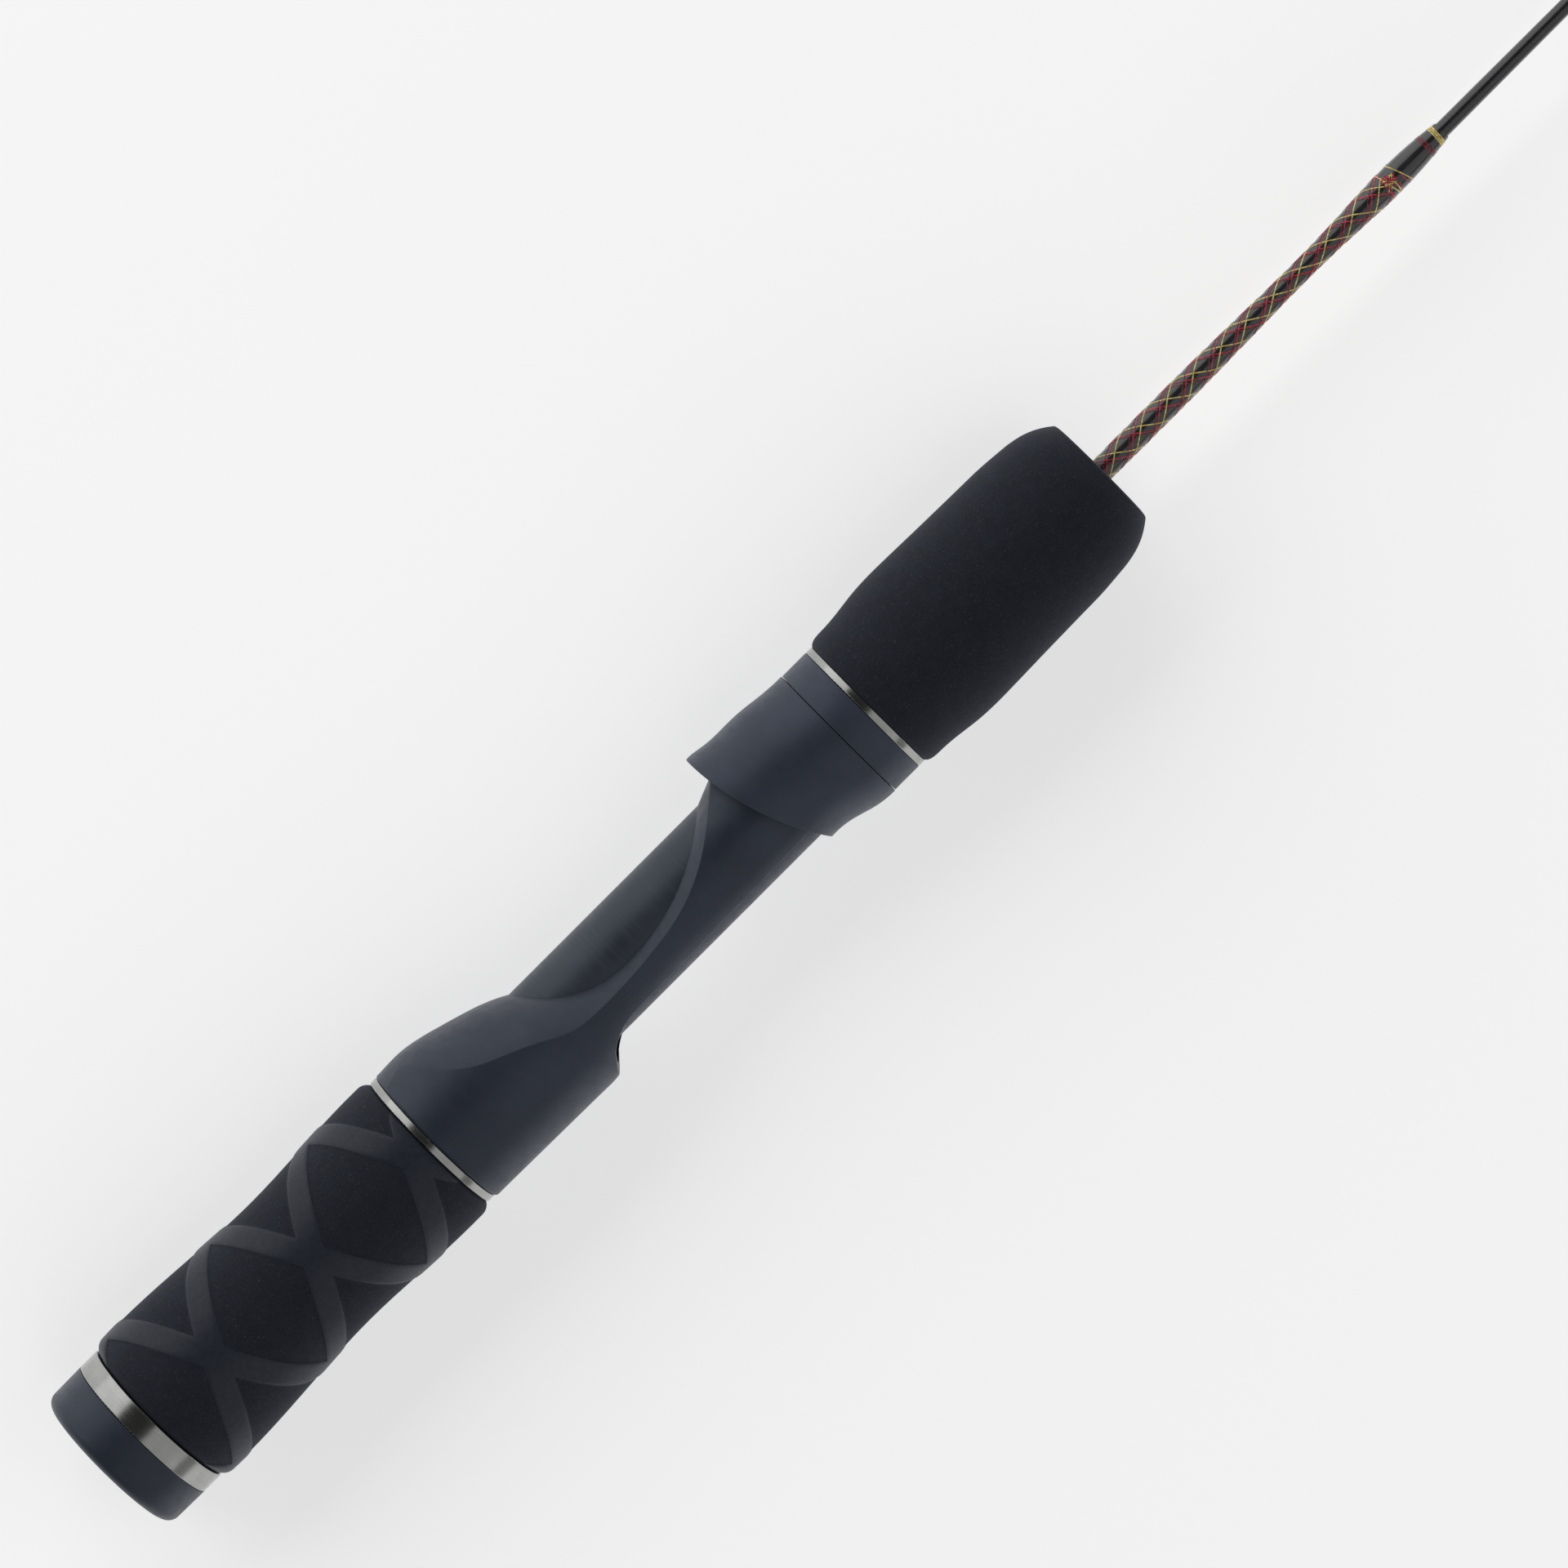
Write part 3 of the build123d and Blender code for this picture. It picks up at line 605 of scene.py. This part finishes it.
def lattice_raise(x, radius, angle):
    """How far the pressed bands stand above the foam."""
    if radius < lattice_floor * rear_radius:
        return 0.0
    away = min(lattice_distance(x, angle, side) for side in (1, -1))
    share = (0.5 * (lattice_width + lattice_edge) - away) / lattice_edge
    share = min(1.0, max(0.0, share))
    return lattice_rise * share * share * (3 - 2 * share)


def make_rear_grip_foam():
    """The butt grip, with the diamond bands raised and their distances kept for the material."""
    loop = refined(rear_loop, foam_step)
    around = round(2 * math.pi * rear_radius / foam_step)
    vertices, faces = turned_grid(loop, around, lattice_raise)
    material = foam("foam_rear", banded=True)
    piece = new_piece("rear_grip_foam", vertices, faces, material, "root")
    for side, label in ((1, "band_right"), (-1, "band_left")):
        field = piece.data.attributes.new(label, "FLOAT", "POINT")
        values = [lattice_distance(v.x, math.atan2(v.y, v.z), side) for v in vertices]
        field.data.foreach_set("value", values)
    facing_out(piece)
    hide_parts("rear_grip")


def make_foregrip_foam():
    """The plain grip in front of the nut."""
    loop = refined(section_loop("foregrip"), foam_step)
    vertices, faces = turned_grid(loop, foregrip_sides)
    material = foam("foam_front", banded=False)
    piece = new_piece("foregrip_foam", vertices, faces, material, "foregrip")
    facing_out(piece)
    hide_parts("foregrip")


# ---------------------------------------------------------------- butt wrap threads
def surface_point(x, angle, lift):
    """A point on the wrap's finish, or on the blank beyond it, and the outward direction."""
    radius = max(outer_radius(finish_loop, x), outer_radius(blank_loop, x))
    return on_rod(x, radius + lift, angle), on_rod(0, 1, angle)


def helix_path(start, end, crossing, phase, side, dice):
    """A thread wound from one station to another, with the small wander of hand winding."""
    steps = round((end - start) / wrap_lead * helix_steps)
    wander = dice.uniform(-wander_turn, wander_turn)
    path = []
    for k in range(steps + 1):
        x = start + (end - start) * k / steps
        angle = wrap_crossing_angle + phase + side * 2 * math.pi * (x - crossing) / wrap_lead
        angle += wander + waver_turn * math.sin(k * waver_step + phase * 5)
        path.append(surface_point(x, angle, over_thread_lift * (1 + side)))
    return path


def cross_wrap(name, material, width, crossing, dice):
    """Threads of one colour, wound both ways so that they cross at a station."""
    strips = []
    start = handle_end - hidden_pattern
    end = handle_end + pattern_length
    for side in (1, -1):
        for k in range(wrap_starts):
            phase = 2 * math.pi * k / wrap_starts
            path = helix_path(start, end, crossing, phase, side, dice)
            strips.append(thread_strip(path, width, thread_height))
    vertices, faces = joined(strips)
    new_piece(name, vertices, faces, material, "root")


def ring_path(x, slant=0.0, start=0.0, turn=2 * math.pi, advance=0.0):
    """A turn of thread at a station. slant leans it along Y; advance moves it on over the turn."""
    path = []
    for k in range(ring_steps + 1):
        share = k / ring_steps
        angle = start + turn * share
        x_here = x - slant * math.sin(angle) + advance * share
        path.append(surface_point(x_here, angle, epoxy_lift))
    return path


def make_tie_off(gold, red, dice):
    """The knot where the pattern's threads end: a fan of short strands and a few loose turns."""
    centre = handle_end + tie_off_inset
    plans = (
        ("tie_off_gold", gold, gold_width, gold_strands, gold_loose_turns),
        ("tie_off_red", red, red_width, red_strands, red_loose_turns),
    )
    for name, material, width, strands, loose_turns in plans:
        strips = []
        for k in range(strands):
            heading = math.pi * (k + 0.5) / strands + dice.uniform(-strand_swing, strand_swing)
            reach = dice.uniform(*strand_reach)
            shift = dice.uniform(-strand_shift, strand_shift)
            path = []
            for step in range(-strand_steps, strand_steps + 1):
                along = reach * step / strand_steps
                x = centre + shift * 0.4 + along * math.cos(heading)
                angle = (along * math.sin(heading) + shift) / outer_radius(finish_loop, x)
                path.append(surface_point(x, angle, strand_lift + strand_pile * k))
            strips.append(thread_strip(path, width, thread_height))
        for _ in range(loose_turns):
            x = centre + dice.uniform(*loose_spread)
            path = ring_path(x, slant=dice.uniform(-loose_lean, loose_lean),
                             start=dice.uniform(0, loose_start), turn=dice.uniform(*loose_turn),
                             advance=dice.uniform(-loose_advance, loose_advance))
            strips.append(thread_strip(path, width, thread_height))
        vertices, faces = joined(strips)
        new_piece(name, vertices, faces, material, "root")


def make_bands(gold, deep_red):
    """The slanted gold turn, the red band and the gold band at the end of the finish."""
    plans = (
        ("slanted_gold_turn", gold, [(slanted_ring_inset, slanted_ring_lean, gold_width)]),
        ("red_band", deep_red, [(red_band_inset + k * red_band_step, red_band_lean, red_width)
                                for k in (-1, 0, 1)]),
        ("gold_band", gold, [(gold_band_inset + k * gold_band_step, gold_band_lean,
                              gold_band_width) for k in (-1, 0, 1)]),
    )
    for name, material, turns in plans:
        strips = [thread_strip(ring_path(handle_end + inset, slant), width, thread_height)
                  for inset, slant, width in turns]
        vertices, faces = joined(strips)
        new_piece(name, vertices, faces, material, "root")


def make_guide_trims(gold):
    """Turns of gold thread beside each guide's wrap, on the side away from the guide."""
    for name in sorted(nodes):
        if not name.endswith("_wrap") or name == "butt_wrap":
            continue
        low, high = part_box(name)
        tip_side = name.endswith("front_wrap")
        strips = []
        for k in range(trim_turns):
            gap = trim_gap + trim_step * k
            x = high.x + gap if tip_side else low.x - gap
            radius = max(outer_radius(blank_loop, x), outer_radius(tip_loop, x))
            path = []
            for step in range(trim_sides + 1):
                angle = 2 * math.pi * step / trim_sides
                path.append((on_rod(x, radius + trim_lift, angle), on_rod(0, 1, angle)))
            strips.append(thread_strip(path, trim_width, trim_height))
        vertices, faces = joined(strips)
        new_piece(f"{name}_trim", vertices, faces, gold, "root")


# ---------------------------------------------------------------- floor, light, camera
def make_floor():
    """A white light table, which glows a little so that the shadow stays soft."""
    n = Nodes("floor")
    patch = n.ramp(n.noise(floor_patch, detail=3), 0.3, 0.7)
    tone = n.mix(patch, (0.86, 0.86, 0.86), (0.88, 0.88, 0.88))
    n.set(Base_Color=tone, Roughness=0.9, Specular_IOR_Level=0.1,
          Emission_Color=(1, 1, 1, 1), Emission_Strength=floor_glow)
    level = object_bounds()[0].z
    middle = (cad_box[0] + cad_box[1]) / 2
    mesh = bpy.data.meshes.new("floor")
    corners = [(middle.x + sx * floor_half, sy * floor_half, level)
               for sx, sy in ((-1, -1), (1, -1), (1, 1), (-1, 1))]
    mesh.from_pydata(corners, [], [(0, 1, 2, 3)])
    mesh.materials.append(n.material)
    floor = bpy.data.objects.new("floor", mesh)
    bpy.context.scene.collection.objects.link(floor)


def softbox(name, side_angle, width, power):
    """A long light parallel to the rod, at an angle from straight up towards +Y."""
    light = bpy.data.lights.new(name, "AREA")
    light.shape = "RECTANGLE"
    light.size = softbox_length
    light.size_y = width
    light.energy = power
    lamp = bpy.data.objects.new(name, light)
    bpy.context.scene.collection.objects.link(lamp)
    angle = math.radians(side_angle)
    direction = Vector((0, math.sin(angle), math.cos(angle)))
    lamp.location = view_target + direction * softbox_distance
    along = Vector((1, 0, 0))
    up = direction.cross(along)
    lamp.rotation_mode = "QUATERNION"
    lamp.rotation_quaternion = Matrix((along, up, direction)).transposed().to_quaternion()
    lamp.visible_camera = False


def make_light():
    """Two long softboxes beside the rod, and a sky that is dark overhead."""
    bpy.context.scene.view_settings.view_transform = "Standard"
    softbox("softbox_back", side_angle=62, width=1.3, power=9.5)
    softbox("softbox_reel", side_angle=-40, width=1.5, power=5.2)
    world = bpy.data.worlds.new("studio")
    bpy.context.scene.world = world
    world.use_nodes = True
    tree = world.node_tree
    where = tree.nodes.new("ShaderNodeTexCoord")
    split = tree.nodes.new("ShaderNodeSeparateXYZ")
    fade = tree.nodes.new("ShaderNodeMapRange")
    fade.inputs["From Min"].default_value = sky_low
    fade.inputs["From Max"].default_value = sky_high
    fade.inputs["To Min"].default_value = horizon_glow
    fade.inputs["To Max"].default_value = zenith_glow
    tree.links.new(where.outputs["Generated"], split.inputs["Vector"])
    tree.links.new(split.outputs["Z"], fade.inputs["Value"])
    sky = tree.nodes["Background"]
    tree.links.new(fade.outputs["Result"], sky.inputs["Strength"])
    sky.inputs["Color"].default_value = (1, 1, 1, 1)


def make_camera():
    """Looks straight down on the handle, with the tip to the upper right."""
    data = bpy.data.cameras.new("camera")
    data.lens = camera_lens
    data.sensor_width = camera_sensor
    data.clip_end = camera_reach
    camera = bpy.data.objects.new("camera", data)
    bpy.context.scene.collection.objects.link(camera)
    camera.location = view_target + camera_offset
    back = (camera.location - view_target).normalized()
    up = Vector((1, 1, 0)).normalized()
    up = (up - back * up.dot(back)).normalized()
    right = up.cross(back)
    camera.rotation_mode = "QUATERNION"
    camera.rotation_quaternion = Matrix((right, up, back)).transposed().to_quaternion()
    bpy.context.scene.camera = camera


# ---------------------------------------------------------------- the scene
rear_loop = section_loop("rear_grip")
finish_loop = section_loop("butt_wrap_finish")
blank_loop = section_loop("blank")
tip_loop = section_loop("solid_tip")
rear_radius = max(p.y for p in rear_loop)
lattice_slope = math.sin(math.atan2(2 * math.pi * rear_radius, lattice_lead))
handle_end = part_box("foregrip")[1].x

dress_cad_nodes()
make_rear_grip_foam()
make_foregrip_foam()

gold_thread = metallic_thread("gold_thread", (1.0, 0.83, 0.33), (0.62, 0.44, 0.10))
red_thread = metallic_thread("red_thread", (0.72, 0.045, 0.085), (0.27, 0.016, 0.035))
dice = random.Random(7)
# A darker copy of the red thread, used for the lowest cross wrap and for the red band.
darker_red_thread = metallic_thread("darker_red_thread", (0.33, 0.02, 0.04), (0.08, 0.007, 0.013))
cross_wrap("cross_wrap_sunk", darker_red_thread, sunk_width, handle_end + sunk_crossing_inset, dice)
cross_wrap("cross_wrap_red", red_thread, red_width, handle_end + red_crossing_inset, dice)
cross_wrap("cross_wrap_gold", gold_thread, gold_width, handle_end + gold_crossing_inset, dice)
make_tie_off(gold_thread, red_thread, dice)
make_bands(gold_thread, darker_red_thread)
make_guide_trims(gold_thread)

make_floor()
make_light()
make_camera()
